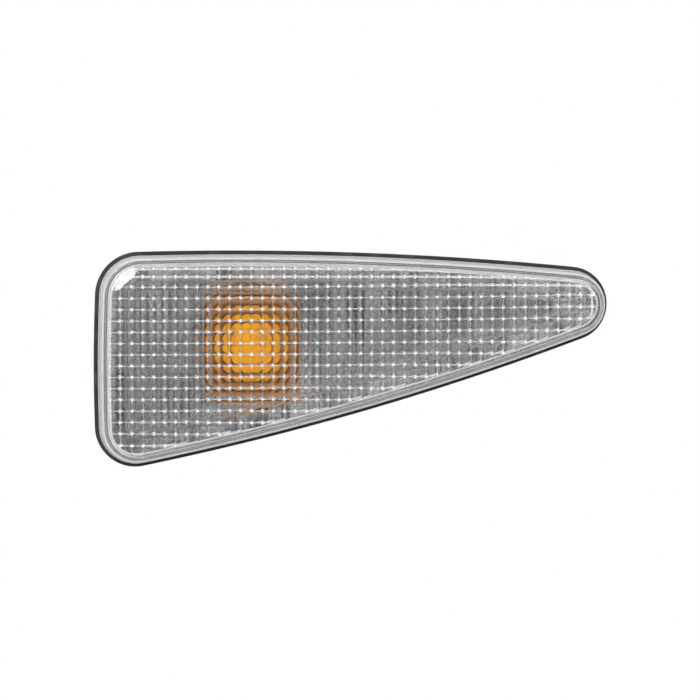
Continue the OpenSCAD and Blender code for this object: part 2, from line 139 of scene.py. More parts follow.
class Finish:
    """The node tree of a material or a world, and a method that adds any node to it."""

    def __init__(self, owner):
        self.material = owner if isinstance(owner, bpy.types.World) else bpy.data.materials.new(owner)
        self.material.use_nodes = True
        self.tree = self.material.node_tree
        self.tree.nodes.clear()

    def node(self, kind, settings=None, inputs=None, out=0):
        made = self.tree.nodes.new(kind)
        for key, value in (settings or {}).items():
            if key == "stops":
                set_stops(made.color_ramp, value)
            else:
                setattr(made, key, value)
        for key, value in (inputs or {}).items():
            if isinstance(value, Wire):
                self.tree.links.new(value.socket, made.inputs[key])
            else:
                made.inputs[key].default_value = value
        return Wire(self, made.outputs[out]) if len(made.outputs) else None

    def place(self, stretch=(1, 1, 1)):
        """The point on the object, in metres, with each axis stretched."""
        point = self.node("ShaderNodeTexCoord", out="Object")
        return self.node("ShaderNodeMapping", {}, {"Vector": point, "Scale": stretch})

    def noise(self, size, detail=2.0, stretch=(1, 1, 1)):
        """Soft random spots of about one size, from 0 to 1."""
        inputs = {"Vector": self.place(stretch), "Scale": 1 / size, "Detail": detail}
        return self.node("ShaderNodeTexNoise", {}, inputs)

    def step(self, value, low, high, start=0.0, end=1.0):
        """A soft step from start to end while a value goes from low to high."""
        settings = {"interpolation_type": "SMOOTHSTEP"}
        inputs = {"Value": value, "From Min": low, "From Max": high, "To Min": start, "To Max": end}
        return self.node("ShaderNodeMapRange", settings, inputs)

    def ramp(self, value, stops):
        """A colour ramp over a value, with stops as pairs of place and colour."""
        return self.node("ShaderNodeValToRGB", {"stops": stops}, {"Fac": value})

    def blend(self, share, first, second):
        """The first colour where the share is 0, and the second where it is 1."""
        inputs = {"Factor": share, 6: (*first, 1), 7: (*second, 1)}
        return self.node("ShaderNodeMix", {"data_type": "RGBA"}, inputs, out=2)

    def mark(self, name):
        """A value that the mesh keeps for each of its points or faces."""
        return self.node("ShaderNodeAttribute", {"attribute_name": name}, out="Fac")

    def bump(self, height, depth):
        """Makes a surface look raised by depth where height is 1."""
        return self.node("ShaderNodeBump", {}, {"Height": height, "Distance": depth})

    def axes(self):
        """The point's X, Y and Z on the object."""
        place = self.place()
        return [self.node("ShaderNodeSeparateXYZ", {}, {"Vector": place}, out=k) for k in "XYZ"]

    def principled(self, **sockets):
        inputs = {key.replace("_", " "): value for key, value in sockets.items()}
        return self.node("ShaderNodeBsdfPrincipled", {}, inputs)

    def end(self, surface):
        self.node("ShaderNodeOutputMaterial", inputs={"Surface": surface})
        return self.material

    def shade(self, **sockets):
        """Ends the finish in a Principled BSDF with these sockets."""
        return self.end(self.principled(**sockets))


def set_stops(ramp, stops):
    """Gives a colour ramp its stops, as pairs of place and colour."""
    while len(ramp.elements) > 1:
        ramp.elements.remove(ramp.elements[-1])
    for k, (place, colour) in enumerate(stops):
        element = ramp.elements[0] if k == 0 else ramp.elements.new(place)
        element.position = place
        element.color = (*colour, 1)


def grey(level):
    return (level, level, level)


# %% [markdown]
# ## The lamp's outline
# Seen from outside, the lamp is a wedge with round corners. Its outline is six arcs
# that meet in line: three corners and three long sides that bow out slightly. An arc
# moved inwards keeps its centre and only loses radius, so one function gives the
# outline at any inset. Every loop has the same number of points, ready to be joined.

# %% The outline as six arcs
CORNERS = (
    (np.array((-24.8, 11.1)) * MM, 9.7 * MM, 400 * MM),
    (np.array((-25.7, -17.6)) * MM, 8.9 * MM, 650 * MM),
    (np.array((70.9, 9.0)) * MM, 8.2 * MM, 785 * MM),
)
SIDE_STEPS = 44
CORNER_STEPS = 24


def bow_centre(start, end):
    """Centre of the side's arc: it touches both corner circles from outside."""
    (a, a_radius, bow), (b, b_radius, _) = start, end
    span = b - a
    length = np.hypot(*span)
    p, q = bow - a_radius, bow - b_radius
    along = (length**2 + p**2 - q**2) / (2 * length)
    across = math.sqrt(p**2 - along**2)
    ahead = span / length
    return a + ahead * along + np.array((-ahead[1], ahead[0])) * across


def arc(centre, radius, start, end, steps):
    """Points on a circle between two angles, without the last one."""
    angle = start + (end - start) * np.arange(steps) / steps
    return centre + radius * np.stack((np.cos(angle), np.sin(angle)), axis=1)


def heading(start, end):
    return math.atan2(end[1] - start[1], end[0] - start[0])


def outline(inset):
    """The lamp's outline at an inset, as points in X and Z."""
    bows = [bow_centre(CORNERS[k], CORNERS[(k + 1) % 3]) for k in range(3)]
    parts = []
    for k in range(3):
        centre, bow, next_bow = CORNERS[k][0], bows[k], bows[(k + 1) % 3]
        end, radius, _ = CORNERS[(k + 1) % 3]
        side_start = heading(bow, centre)
        side_end = side_start + (heading(bow, end) - side_start) % math.tau
        corner_end = side_end + (heading(next_bow, end) - side_end) % math.tau
        parts.append(arc(bow, CORNERS[k][2] - inset, side_start, side_end, SIDE_STEPS))
        parts.append(arc(end, radius - inset, side_end, corner_end, CORNER_STEPS))
    return np.concatenate(parts)


edge = outline(0)
print("outline in mm:", np.round((edge.max(0) - edge.min(0)) / MM, 2))

# %% [markdown]
# ## Surfaces from loops
# Most moulded shapes here are a stack of loops that are joined row by row. A solid
# stack is closed by a fan at each end, and a ring's last loop joins its first one.
# Faces are worked out as whole arrays of numbers, and never one by one.

# %% Join loops into a solid
def loop_faces(rows, n, closed):
    """Two triangles for each place between neighbouring loops of n points."""
    k, i = np.meshgrid(np.arange(rows if closed else rows - 1), np.arange(n), indexing="ij")
    a, b = k * n + i, k * n + (i + 1) % n
    c, d = (k + 1) % rows * n + i, (k + 1) % rows * n + (i + 1) % n
    sides = np.concatenate((np.stack((a, b, d), -1), np.stack((a, d, c), -1)))
    return sides.reshape(-1, 3)


def loft(loops):
    """Vertices and triangles of closed loops joined row by row, with a fan at each end."""
    loops = np.asarray(loops)
    rows, n, _ = loops.shape
    ends = np.stack((loops[0].mean(0), loops[-1].mean(0)))
    vertices = np.concatenate((loops.reshape(-1, 3), ends))
    j, top = np.arange(n), (rows - 1) * n
    first = np.stack((j, np.full(n, rows * n), (j + 1) % n), -1)
    last = np.stack((top + j, top + (j + 1) % n, np.full(n, rows * n + 1)), -1)
    return vertices, np.concatenate((loop_faces(rows, n, False), first, last))


def ring(loops):
    """Vertices and triangles of loops joined row by row and back to the first."""
    loops = np.asarray(loops)
    return loops.reshape(-1, 3), loop_faces(len(loops), loops.shape[1], True)


def in_depth(points, depth):
    """Points in X and Z, placed at a depth along Y."""
    depth = np.broadcast_to(depth, len(points))
    return np.stack((points[:, 0], depth, points[:, 1]), axis=1)


# %% Make a mesh object
def outward(vertices, faces):
    """The same triangles, all turned to face out of the solid."""
    a, b, c = (vertices[faces[:, k]] for k in range(3))
    volume = np.einsum("ij,ij->", a, np.cross(b, c))
    return faces if volume > 0 else faces[:, ::-1]


def soften(mesh, sharp_degrees):
    """Shades a mesh smooth, apart from edges sharper than an angle."""
    mesh.polygons.foreach_set("use_smooth", np.ones(len(mesh.polygons), bool))
    mesh.set_sharp_from_angle(angle=math.radians(sharp_degrees))


def new_piece(name, vertices, faces, sharp_degrees=30):
    mesh = bpy.data.meshes.new(name)
    mesh.from_pydata(vertices.tolist(), [], outward(vertices, faces).tolist())
    mesh.update()
    piece = bpy.data.objects.new(name, mesh)
    bpy.context.scene.collection.objects.link(piece)
    soften(mesh, sharp_degrees)
    return piece


def put_on(piece, body, node, finish):
    """Hangs a new piece on its body, in the place of a CAD part, with its finish."""
    piece.data.materials.clear()
    piece.data.materials.append(finish)
    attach(piece, body)
    if node:
        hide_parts(node)
    print(f"{piece.name}: {len(piece.data.polygons)} faces on {body}")


# %% [markdown]
# ## The lens, outside
# The lens is one moulding of clear acrylic: an upright side wall, a rounded shoulder
# and a softly domed face. Each of its levels is the lamp's outline at some inset and
# depth, so the outside is a loft of such loops. A fine groove runs round the shoulder,
# which shows as the dark line in the bright band along the lens's edge.

# %% Outer body of the lens
FOOT_Y = -2.8 * MM
WELD_GAP = 0.07 * MM
SEAL_LIP = 0.8 * MM
RISE = 5.4 * MM
FACE_Y = FOOT_Y - RISE
DRAFT = 0.4 * MM
SHOULDER = 1.8 * MM
SHOULDER_STEPS = 40
GROOVE, GROOVE_IN, GROOVE_W = 0.2 * MM, 2.1 * MM, 0.22 * MM
CROWN = 0.8 * MM
DOME_START, DOME_END = SEAL_LIP + DRAFT + SHOULDER, 7.8 * MM
DOME_STEPS = 10


def lens_levels():
    """Side wall, quarter circle and dome, whose depth is the crown times 1 - (1 - share)^2.

    The groove is a bell curve over the inset, cut into the quarter circle.
    """
    loops = [in_depth(outline(SEAL_LIP), FOOT_Y - WELD_GAP)]
    for k in range(SHOULDER_STEPS + 1):
        a = math.pi / 2 * k / SHOULDER_STEPS
        inset = SEAL_LIP + DRAFT + SHOULDER * (1 - math.cos(a))
        groove = GROOVE * math.exp(-((inset - GROOVE_IN) / GROOVE_W) ** 2)
        loops.append(in_depth(outline(inset), FACE_Y + SHOULDER * (1 - math.sin(a)) + groove))
    for k in range(1, DOME_STEPS + 1):
        share = k / DOME_STEPS
        inset = DOME_START + (DOME_END - DOME_START) * share
        loops.append(in_depth(outline(inset), FACE_Y - CROWN * (1 - (1 - share) ** 2)))
    return loops


lens = new_piece("lens_shell", *loft(lens_levels()))
print("lens body:", len(lens.data.polygons), "triangles")

# %% [markdown]
# ## The strip above the crease
# Along the top, the face turns back in a narrow strip, with a crease between them
# that falls slowly towards the narrow end. A block that leans back is cut away in front
# of the strip, and its lower edge follows the crease as a very flat arc.

# %% Cut the leaning strip
CREASE_TOP = 15.88 * MM
CREASE_X = -15.1 * MM
CREASE_R = 1490 * MM
CREASE_DEPTH = 0.6 * MM
STRIP_LEAN = math.radians(15)


def crease_z(x):
    """Height of the crease at x: it falls by x * x / 2R from its top, for numbers or wires."""
    return CREASE_TOP - (x - CREASE_X) ** 2 / (2 * CREASE_R)


# The block reaches past the lens on all sides, so only its inner face shapes anything.
CUT_ENDS = (-46 * MM, 94 * MM)
CUT_STEPS = 60
CUT_LOW, CUT_HIGH, CUT_OUT = -3 * MM, 20 * MM, 12 * MM


def strip_cutter():
    """A leaning block in front of the strip: one rectangle, moved along the crease."""
    x = np.linspace(*CUT_ENDS, CUT_STEPS)
    up = np.array((math.sin(STRIP_LEAN), math.cos(STRIP_LEAN)))
    out = np.array((-up[1], up[0]))
    rectangle = np.array([up * CUT_LOW, up * CUT_HIGH, up * CUT_HIGH + out * CUT_OUT,
                          up * CUT_LOW + out * CUT_OUT])
    loops = np.empty((CUT_STEPS, 4, 3))
    loops[:, :, 0] = x[:, None]
    loops[:, :, 1] = FACE_Y - CREASE_DEPTH + rectangle[:, 0]
    loops[:, :, 2] = crease_z(x)[:, None] + rectangle[:, 1]
    return loops


def keep_result(piece):
    """Puts what a piece's modifiers make into its own mesh."""
    graph = bpy.context.evaluated_depsgraph_get()
    piece.data = bpy.data.meshes.new_from_object(piece.evaluated_get(graph))
    piece.modifiers.clear()


def carve(piece, cutter, operation="DIFFERENCE"):
    """Cuts a closed piece with another."""
    change = piece.modifiers.new("carve", "BOOLEAN")
    change.operation = operation
    change.object = cutter
    change.solver = "MANIFOLD"
    keep_result(piece)
    bpy.data.objects.remove(cutter)


carve(lens, new_piece("cutter", *loft(strip_cutter())))
print("after the strip:", len(lens.data.polygons), "triangles")

# %% [markdown]
# ## The pillows inside the lens
# Behind the face, the acrylic carries a grid of small round pillows, which spread the
# bulb's light. In each, the surface turns by up to about 40 degrees at its sides, so
# it shows a small picture of all that lies behind. A bump on a flat lens can't do that,
# so the pillows are real surfaces here: a round arch along X plus another along Z. The
# cells grow a little towards the narrow end, and their rows bow upwards. In the strip
# above the crease the rows stand closer together. The grid is the front of a solid room,
# which is trimmed to the lens's wall and then cut out of the lens.

# %% The room behind the lens
WALL = 2.4 * MM
FACE = 1.8 * MM
PILLOW_X, PILLOW_W, PILLOW_GROWTH = -0.462 * MM, 2.397 * MM, 0.00107 * MM
PILLOW_Z, PILLOW_H = 0.86 * MM, 2.468 * MM
ROW_BOW = 0.0538
CROWDED, CROWD_START = 0.31, 1.4 * MM
TILT_X, TILT_Z = math.radians(39.5), math.radians(43.5)
ROOM_BACK = FOOT_Y + 1 * MM

# Where the mesh lines of a cell lie, from 0 to 1. They are closest at its steep sides.
CUTS = np.array([0, 0.03, 0.08, 0.16, 0.27, 0.4, 0.5, 0.6, 0.73, 0.84, 0.92, 0.97])


def arch(share, size, tilt):
    """Depth of a round arch over one cell: 0 in its middle, and steepest at its sides."""
    radius = size / 2 / math.sin(tilt)
    across = (share - np.floor(share) - 0.5) * size
    return radius - np.sqrt(radius**2 - across**2)


def mesh_lines(low, high, origin, size):
    """Where the mesh lines lie, counted in cells from the origin."""
    first = math.floor((low - origin) / size) - 1
    last = math.ceil((high - origin) / size) + 1
    cells = np.arange(first, last)
    return (cells[:, None] + CUTS[None]).ravel()


def pillow_sheet():
    """The pillows as a grid of points: their depth is the arch along X plus the one along Z.

    Column i lies at w * i + g * i * i, and row j at h * j plus the bow times x * x. Above
    the start of the crowded rows, a share of each row's height over that start is lost.
    """
    low, high = outline(0).min(0), outline(0).max(0)
    i = mesh_lines(low[0], high[0], PILLOW_X, PILLOW_W)
    j = mesh_lines(low[1], high[1], PILLOW_Z, PILLOW_H)
    x = PILLOW_X + PILLOW_W * i + PILLOW_GROWTH * i**2
    z = PILLOW_Z + PILLOW_H * j
    gx, gz = np.meshgrid(x, z, indexing="ij")
    gy = FACE_Y + FACE + arch(i, PILLOW_W, TILT_X)[:, None] + arch(j, PILLOW_H, TILT_Z)
    gz = gz + ROW_BOW * gx**2
    gz = gz - CROWDED * np.maximum(gz - crease_z(gx) + CROWD_START, 0)
    return np.stack((gx, gy, gz), -1)


def sheet_solid(points, back_y):
    """A grid of points, closed by side walls and a flat back at a depth."""
    n, m, _ = points.shape
    front = points.reshape(-1, 3)
    i, j = np.meshgrid(np.arange(n - 1), np.arange(m - 1), indexing="ij")
    a = i * m + j
    front_faces = np.concatenate((np.stack((a, a + 1, a + m + 1), -1),
                                  np.stack((a, a + m + 1, a + m), -1))).reshape(-1, 3)
    rim = np.concatenate((np.arange(m), np.arange(1, n) * m + m - 1,
                          (n - 1) * m + np.arange(m - 2, -1, -1), np.arange(n - 2, 0, -1) * m))
    back = front[rim] * (1, 0, 1) + (0, back_y, 0)
    centre = back.mean(0, keepdims=True)
    r = len(front) + np.arange(len(rim))
    after, next_rim = np.roll(r, -1), np.roll(rim, -1)
    sides = np.concatenate((np.stack((rim, r, after), -1), np.stack((rim, after, next_rim), -1)))
    fan = np.stack((r, np.full(len(rim), len(front) + len(rim)), after), -1)
    return np.concatenate((front, back, centre)), np.concatenate((front_faces, sides, fan))


room = new_piece("room", *sheet_solid(pillow_sheet(), ROOM_BACK))
inner = outline(SEAL_LIP + WALL)
plug = [in_depth(inner, ROOM_BACK - 0.5 * MM), in_depth(inner, FACE_Y)]
carve(room, new_piece("plug", *loft(plug)), "INTERSECT")
carve(lens, room)
soften(lens.data, 24)
print("lens:", len(lens.data.polygons), "triangles")

# %% [markdown]
# ## Marks for the finish
# The finish treats the pillows and the lens's edge in ways of their own. A mesh can
# keep a value for each face or point as an attribute, and a material can read it. So the
# pillows' faces are marked, and each point keeps its distance from the lamp's outline.

# %% Mark the pillows and the edge
FACES_BACK = 0.3
PILLOW_END_Y = FOOT_Y - 1 * MM


def mark_inside(mesh):
    """1 on the pillows, which are the inner faces that look backwards, and 0 elsewhere."""
    count = len(mesh.polygons)
    centre, normal = np.zeros(3 * count), np.zeros(3 * count)
    mesh.polygons.foreach_get("center", centre)
    mesh.polygons.foreach_get("normal", normal)
    inside = (normal[1::3] > FACES_BACK) & (centre[1::3] < PILLOW_END_Y)
    mesh.attributes.new("inside", "FLOAT", "FACE").data.foreach_set("value", inside.astype(float))
    print("faces of the pillows:", inside.sum(), "of", count)


def mark_inset(mesh):
    """Each point's distance from the lamp's outline: the least over its straight pieces."""
    count = len(mesh.vertices)
    place = np.zeros(3 * count)
    mesh.vertices.foreach_get("co", place)
    points = place.reshape(-1, 3)[:, [0, 2]]
    start = outline(0)
    along = np.roll(start, -1, axis=0) - start
    nearest = np.full(count, np.inf)
    for a, d in zip(start, along):
        share = np.clip((points - a) @ d / (d @ d), 0, 1)
        nearest = np.minimum(nearest, np.hypot(*(points - a - share[:, None] * d).T))
    mesh.attributes.new("inset", "FLOAT", "POINT").data.foreach_set("value", nearest)


mark_inside(lens.data)
mark_inset(lens.data)

# %% [markdown]
# ## Where a place lies in its pillow
# A painted highlight lies in each corner where four pillows meet, a white point, and thin
# pale painted highlights run along the rows between. The finish has to know how far a
# place is from the nearest edge, so it turns the pillows' formulas round and gets the
# column and row from X and Z.

# %% Pillow by pillow
def from_edge(cells):
    """How far a place is from the nearest whole number of cells."""
    return cells.maths("ABSOLUTE", cells - cells.maths("ROUND", cells))


def pillow_place(finish):
    """How far a place is from its pillow's upright and level edges, counted in cells."""
    x, _, z = finish.axes()
    even = (x - PILLOW_X) / PILLOW_W
    column = even - even * even * (PILLOW_GROWTH / PILLOW_W)
    over = (z - crease_z(x) + CROWD_START).most(0.0) * (CROWDED / (1 - CROWDED))
    row = (z + over - x * x * ROW_BOW - PILLOW_Z) / PILLOW_H
    return from_edge(column), from_edge(row)


# %% [markdown]
# ## Clear acrylic with painted highlights
# Acrylic bends light a little less than window glass, with an index of 1.49. The lens
# is real transmission, so what shows in each pillow is the reflector behind it. A white
# surface that glows a little is mixed in as painted highlights and painted glow: in the
# corners and along the rows, and in a thin line round the pillows. It lies weakly on the
# satin side wall too, which is partly frosted and partly a painted sheen. The upright
# valleys are only blurred. Fine upright ripples on the inside unsettle what shows through.

# %% Dress the lens
ACRYLIC_INDEX = 1.49
VALLEY, VALLEY_ROUGH = (0.015, 0.045), 0.26
# Corner points, row lines and the rim line are painted highlights; the satin side is part frost, part
# painted sheen.
CORNER_X, CORNER_Z, CORNER_EDGE, CORNER_HIGHLIGHT = 0.2, 0.095, (0.3, 1.0), 0.95
LINE_HIGHLIGHT = 0.3
RIM_LINE, RIM_HIGHLIGHT = (3.3 * MM, 3.55 * MM), 0.8
SATIN, SATIN_AND_SHEEN = (1.4 * MM, 2.0 * MM), 0.35
# Painted glow of the white places, though the lens is no lamp.
FROST_PAINTED_GLOW = 0.2
RIPPLE_SIZE, RIPPLE, RIPPLE_LONG = 0.35 * MM, 0.012 * MM, (1, 1, 0.15)


def painted_highlight_share(finish, off_x, off_z, inside):
    """How much painted highlight a place gets: the most of the corners, rows, rim and satin side."""
    inset = finish.mark("inset")
    from_corner = (off_x / CORNER_X) ** 2 + (off_z / CORNER_Z) ** 2
    # Painted highlight: a white point where four pillows meet.
    corner = finish.step(from_corner, *CORNER_EDGE, CORNER_HIGHLIGHT, 0.0) * inside
    line_highlight = finish.step(off_z, *VALLEY, LINE_HIGHLIGHT, 0.0) * inside
    rim = finish.step(inset, *RIM_LINE, RIM_HIGHLIGHT, 0.0) * inside
    satin_and_sheen_share = finish.step(inset, *SATIN, SATIN_AND_SHEEN, 0.0)
    return corner.most(line_highlight).most(rim).most(satin_and_sheen_share)


def acrylic_and_painted_highlights():
    """Clear acrylic, mixed by a share with painted highlights: a white surface that glows a little."""
    finish = Finish("acrylic_and_painted_highlights")
    off_x, off_z = pillow_place(finish)
    inside = finish.mark("inside")
    valley = finish.step(off_x, *VALLEY, 1.0, 0.0) * inside
    clear = finish.principled(
        Base_Color=(0.985, 0.99, 1.0, 1),
        Roughness=valley * VALLEY_ROUGH,
        IOR=ACRYLIC_INDEX,
        Transmission_Weight=1.0,
        Normal=finish.bump(finish.noise(RIPPLE_SIZE, 2.0, RIPPLE_LONG), RIPPLE),
    )
    # Painted highlights: a white surface that glows a little.
    painted_highlight = finish.principled(
        Base_Color=(0.95, 0.95, 0.95, 1),
        Roughness=0.6,
        Emission_Color=(1, 1, 1, 1),
        Emission_Strength=FROST_PAINTED_GLOW,
    )
    highlight_share = painted_highlight_share(finish, off_x, off_z, inside)
    return finish.end(finish.node("ShaderNodeMixShader", {}, {0: highlight_share, 1: clear, 2: painted_highlight}))


put_on(lens, "lamp", "lens", acrylic_and_painted_highlights())

# %% [markdown]
# ## The weld under the lens
# The lens is welded to the housing's flange all round. Seen through the clear wall, the
# weld is a pale frosted band, and its dark and pale lines are painted shade and painted
# highlights of the lens rim's steps. It is a thin ring here. Each of its points keeps its
# own inset as an attribute, so that a colour ramp can draw the lines along the whole outline.

# %% Weld ring
WELD_OUT, WELD_IN = 0.88 * MM, 3.45 * MM
WELD_STEPS = 24
WELD_FRONT_Y, WELD_BACK_Y = FOOT_Y - 0.05 * MM, FOOT_Y - 0.01 * MM

across = np.linspace(0, 1, WELD_STEPS)
weld_loops = [in_depth(outline(inset), WELD_FRONT_Y) for inset in WELD_OUT + (WELD_IN - WELD_OUT) * across]
weld_loops += [loop * (1, 0, 1) + (0, WELD_BACK_Y, 0) for loop in weld_loops[::-1]]
weld = new_piece("weld_ring", *ring(weld_loops))
mark = weld.data.attributes.new("across", "FLOAT", "POINT")
mark.data.foreach_set("value", np.repeat(np.concatenate((across, across[::-1])), len(edge)))


# %% Dress the weld
WOBBLE = 0.08


def weld_and_painted_lines():
    """Pale and dark lines across the weld, painted highlights and painted shade, moved a little by a
    noise.
    """
    finish = Finish("weld_and_painted_lines")
    shift = (finish.noise(1.5 * MM, 3.0) - 0.5) * WOBBLE
    # Pale stops are painted highlights and dark stops painted shade of the lens rim's steps.
    stops = [(0.0, grey(0.75)), (0.08, grey(0.8)), (0.14, grey(0.3)), (0.3, grey(0.35)),
             (0.38, grey(0.2)), (0.5, grey(0.3)), (0.58, grey(0.16)), (0.68, grey(0.22)),
             (0.74, grey(0.85)), (1.0, grey(0.95))]
    return finish.shade(
        Base_Color=finish.ramp(finish.mark("across") + shift, stops),
        Roughness=0.5,
        Specular_IOR_Level=0.2,
    )


put_on(weld, "lamp", None, weld_and_painted_lines())

# %% [markdown]
# ## The reflector
# Behind the lens lies a shallow tray of metallised plastic, with a funnel round the
# bulb. The CAD solid has square corners and a round bowl. A moulded and coated tray has
# soft ones, which matters here, because they show as shades behind the pillows, and the
# photograph's amber patch is squarish, so the funnel's mouth is a rounded rectangle that
# turns round towards the bulb. The tray is a ring of loops: down the front of rim, wall,
# floor and funnel, and back behind.

# %% Tray and funnel
RIM_IN, RIM_Y, RIM_ROUND = 3.5 * MM, -3.3 * MM, 0.2 * MM
RIM_FOOT_Y = FOOT_Y - 0.02 * MM
WALL_TOP_IN, WALL_END_IN = 6.2 * MM, 8.1 * MM
FLOOR_Y, FLOOR_BACK_Y = 0.0 * MM, 1.0 * MM
TRAY_IN = 6.4 * MM
TRAY_EDGE = 1 * MM
MOUTH_X, MOUTH_Z, MOUTH_POWER = 10.5 * MM, 12 * MM, 6
MOUTH_CLEAR = 0.2 * MM
HOLE_R = 8.0 * MM
FUNNEL_END_Y = 10 * MM
FUNNEL_SKIN = 1.0 * MM
FUNNEL_STEPS = 16


def fillet(start, corner, end, steps):
    """A rounded corner: a parabola that starts and ends along the two straight sides."""
    s = np.linspace(0, 1, steps)[:, None]
    start, corner, end = (np.array(p) for p in (start, corner, end))
    return (1 - s) ** 2 * start + 2 * s * (1 - s) * corner + s**2 * end


def funnel_loop(half_x, half_z, power, like):
    """A rounded rectangle round the bulb's axis: |x / a|^n + |z / b|^n = 1.

    It has a point beside each point of another loop and stays inside that loop.
    A power of 2 makes a circle.
    """
    angle = np.arctan2(like[:, 1], like[:, 0])
    unit = np.stack((np.cos(angle), np.sin(angle)), axis=1)
    size = (np.abs(unit) / (half_x, half_z)) ** power
    radius = np.minimum(size.sum(1) ** (-1 / power), np.hypot(*like.T) - MOUTH_CLEAR)
    return unit * radius[:, None]


def tray_side(steps=24):
    """The wall's front as inset and depth, which falls by 3 t^2 - 2 t^3 from rim to floor."""
    share = np.linspace(0, 1, steps)
    inset = WALL_TOP_IN + (WALL_END_IN - WALL_TOP_IN) * share
    return np.stack((inset, RIM_Y + (FLOOR_Y - RIM_Y) * share**2 * (3 - 2 * share)), -1)


def funnel_loops(like):
    """The funnel from its rectangular mouth to its round hole, then its outside back up."""
    loops = []
    for share in np.linspace(0, 1, FUNNEL_STEPS):
        half_x = MOUTH_X + (HOLE_R - MOUTH_X) * share
        half_z = MOUTH_Z + (HOLE_R - MOUTH_Z) * share
        power = MOUTH_POWER + (2 - MOUTH_POWER) * share
        depth = FLOOR_Y + (FUNNEL_END_Y - FLOOR_Y) * share
        loops.append(in_depth(funnel_loop(half_x, half_z, power, like), depth))
    outside_hole = funnel_loop(HOLE_R + FUNNEL_SKIN, HOLE_R + FUNNEL_SKIN, 2, like)
    outside_mouth = funnel_loop(MOUTH_X + FUNNEL_SKIN, MOUTH_Z + FUNNEL_SKIN, MOUTH_POWER, like)
    return loops + [in_depth(outside_hole, FUNNEL_END_Y), in_depth(outside_mouth, FLOOR_BACK_Y)]


def tray_loops():
    """Rim and wall down to the floor, the funnel, and the tray's back up to the rim."""
    rim = fillet((RIM_IN, RIM_Y + RIM_ROUND), (RIM_IN, RIM_Y), (RIM_IN + RIM_ROUND, RIM_Y), 3)
    front = np.concatenate(([(RIM_IN, RIM_FOOT_Y)], rim, tray_side()))
    back = [(TRAY_IN + TRAY_EDGE, FLOOR_BACK_Y), (TRAY_IN, FLOOR_BACK_Y - TRAY_EDGE),
            (TRAY_IN, RIM_FOOT_Y)]
    return ([in_depth(outline(inset), y) for inset, y in front]
            + funnel_loops(outline(WALL_END_IN))
            + [in_depth(outline(inset), y) for inset, y in back])


tray = new_piece("reflector_tray", *ring(tray_loops()), 40)
print("funnel:", round(FUNNEL_END_Y / MM), "mm deep")

# %% [markdown]
# ## Vacuum metallising
# The coat is a thin film of aluminium. Its flat floor is painted far darker than the
# steep walls, as painted shade, and is slightly hazed and marked by the tools that cut the
# mould. The surface's own normal tells the two apart. Towards the narrow end the coat is
# painted a little lighter, as painted light. Noise stretched upright draws the tool marks,
# as streaks of colour and as a fine bump.

# %% Dress the reflector
# The floor's level is painted shade, the walls' is the metal's own, and the tip's rise is painted light.
FLOOR_PAINTED_SHADE, WALL_LEVEL, TIP_PAINTED_LIGHT = 0.26, 0.9, 0.02
STEEP, FLAT = 0.3, 0.95
TIP_START, TIP_END = 5 * MM, 60 * MM
HAZE, STREAKS = 0.6, 0.9
POLISH, POLISH_SPREAD, WALL_ROUGH = 0.1, 0.06, 0.4
RIBS = 0.1 * MM


def metallised():
    """Aluminium film: painted shade and streaks on the floor, pale and rougher on the walls, painted light
    to the tip.
    """
    finish = Finish("metallised")
    normal = finish.node("ShaderNodeTexCoord", out="Normal")
    facing = finish.node("ShaderNodeSeparateXYZ", {}, {"Vector": normal}, out="Y")
    flat = finish.step(facing.maths("ABSOLUTE", facing), STEEP, FLAT)
    haze = (finish.noise(1.2 * MM, 4.0, (1, 1, 0.5)) - 0.5) * HAZE
    streaks = (finish.noise(2.2 * MM, 3.0, (1, 1, 0.06)) - 0.5) * STREAKS
    painted_tip_light = finish.step(finish.axes()[0], TIP_START, TIP_END, 0.0, TIP_PAINTED_LIGHT)
    # The level holds the floor's painted shade and the tip's painted light.
    level = flat * (FLOOR_PAINTED_SHADE - WALL_LEVEL) + WALL_LEVEL + haze + streaks + painted_tip_light
    return finish.shade(
        Base_Color=finish.node("ShaderNodeCombineColor", {}, {0: level, 1: level, 2: level}),
        Metallic=1.0,
        Roughness=POLISH + finish.noise(3 * MM) * POLISH_SPREAD + (1 - flat) * WALL_ROUGH,
        Normal=finish.bump(finish.noise(1.5 * MM, 3.0, (1, 1, 0.2)), RIBS),
    )


put_on(tray, "lamp", "reflector", metallised())

# %% [markdown]
# ## The seal
# A ring of soft rubber lies between the lamp and the panel, and a thin lip of it shows
# all round the lens. Its outer edges are moulded round, so its section is drawn as two
# quarter circles and two corners, and carried round the outline.

# %% Seal
SEAL_T = 1.4 * MM
SEAL_IN = 4.2 * MM
SEAL_ROUND = 0.25 * MM
SEAL_STEPS = 7


def seal_section():
    """Section as inset and depth: a quarter circle at each outer edge, then the inner side."""
    a = np.linspace(-math.pi / 2, 0, SEAL_STEPS)
    front = np.stack((SEAL_ROUND * (1 - np.cos(a)), SEAL_ROUND * (1 + np.sin(a)) - SEAL_T), -1)
    back = np.stack((front[::-1, 0], -SEAL_T - front[::-1, 1]), -1)
    return np.concatenate((front, back, [(SEAL_IN, 0), (SEAL_IN, -SEAL_T)]))


seal_loops = [in_depth(outline(inset), y) for inset, y in seal_section()]
seal = new_piece("seal_ring", *ring(seal_loops), 50)

# %% Dress the seal
def rubber(name, colour, dust):
    """Matt rubber: a fine grain, and pale dust in soft patches."""
    finish = Finish(name)
    patches = finish.step(finish.noise(4 * MM, 4.0), 0.45, 0.75)
    return finish.shade(
        Base_Color=finish.blend(patches, colour, dust),
        Roughness=0.65 + finish.noise(0.8 * MM) * 0.25,
        Specular_IOR_Level=0.12,
        Normal=finish.bump(finish.noise(0.25 * MM), 0.03 * MM),
    )


seal_rubber = rubber("seal_rubber", grey(0.045), grey(0.08))
put_on(seal, "lamp", "gasket", seal_rubber)

